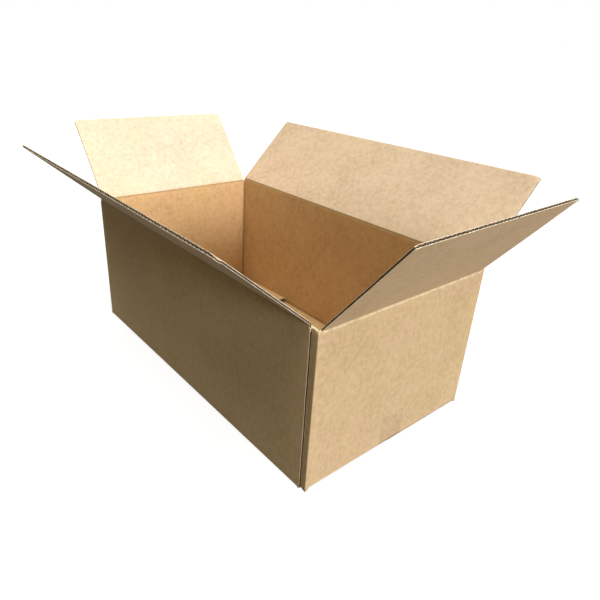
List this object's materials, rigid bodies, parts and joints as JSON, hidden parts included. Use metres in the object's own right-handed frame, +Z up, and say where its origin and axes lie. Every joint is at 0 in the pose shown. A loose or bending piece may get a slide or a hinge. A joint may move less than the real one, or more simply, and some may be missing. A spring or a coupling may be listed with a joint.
{
  "type": "open cardboard box",
  "caption": "Rectangular corrugated cardboard box standing open, with hinged top flaps folded outward and a taped bottom.",
  "frame": {"origin": "middle of the underside, where the box rests", "axes": "+X along the length towards the end panel beside the glued side joint, +Y across the width away from the front long panel, +Z up"},
  "size_m": [0.8551, 0.5995, 0.3901],
  "materials": {
    "kraft_board": "matte kraft liner",
    "kraft_flap": "matte kraft liner with open flutes at the edges",
    "clear_tape": "clear glossy film"
  },
  "bodies": {
    "carton": {"carton_body": "kraft_board", "bottom_tape": "clear_tape"},
    "front_flap": {"front_flap": "kraft_flap"},
    "back_flap": {"back_flap": "kraft_flap"},
    "left_flap": {"left_flap": "kraft_flap"},
    "right_flap": {"right_flap": "kraft_flap"}
  },
  "joints": [
    {"name": "front_fold", "type": "hinge", "parent": "carton", "child": "front_flap", "pos_m": [0, -0.175, 0.255], "axis": [-1, 0, 0], "range_deg": [-120.5, 139.5]},
    {"name": "back_fold", "type": "hinge", "parent": "carton", "child": "back_flap", "pos_m": [0, 0.175, 0.255], "axis": [1, 0, 0], "range_deg": [-125.3, 134.7]},
    {"name": "left_fold", "type": "hinge", "parent": "carton", "child": "left_flap", "pos_m": [-0.318, 0, 0.2509], "axis": [0, 1, 0], "range_deg": [-130.7, 129.3]},
    {"name": "right_fold", "type": "hinge", "parent": "carton", "child": "right_flap", "pos_m": [0.318, 0, 0.2509], "axis": [0, -1, 0], "range_deg": [-131.6, 128.4]}
  ]
}
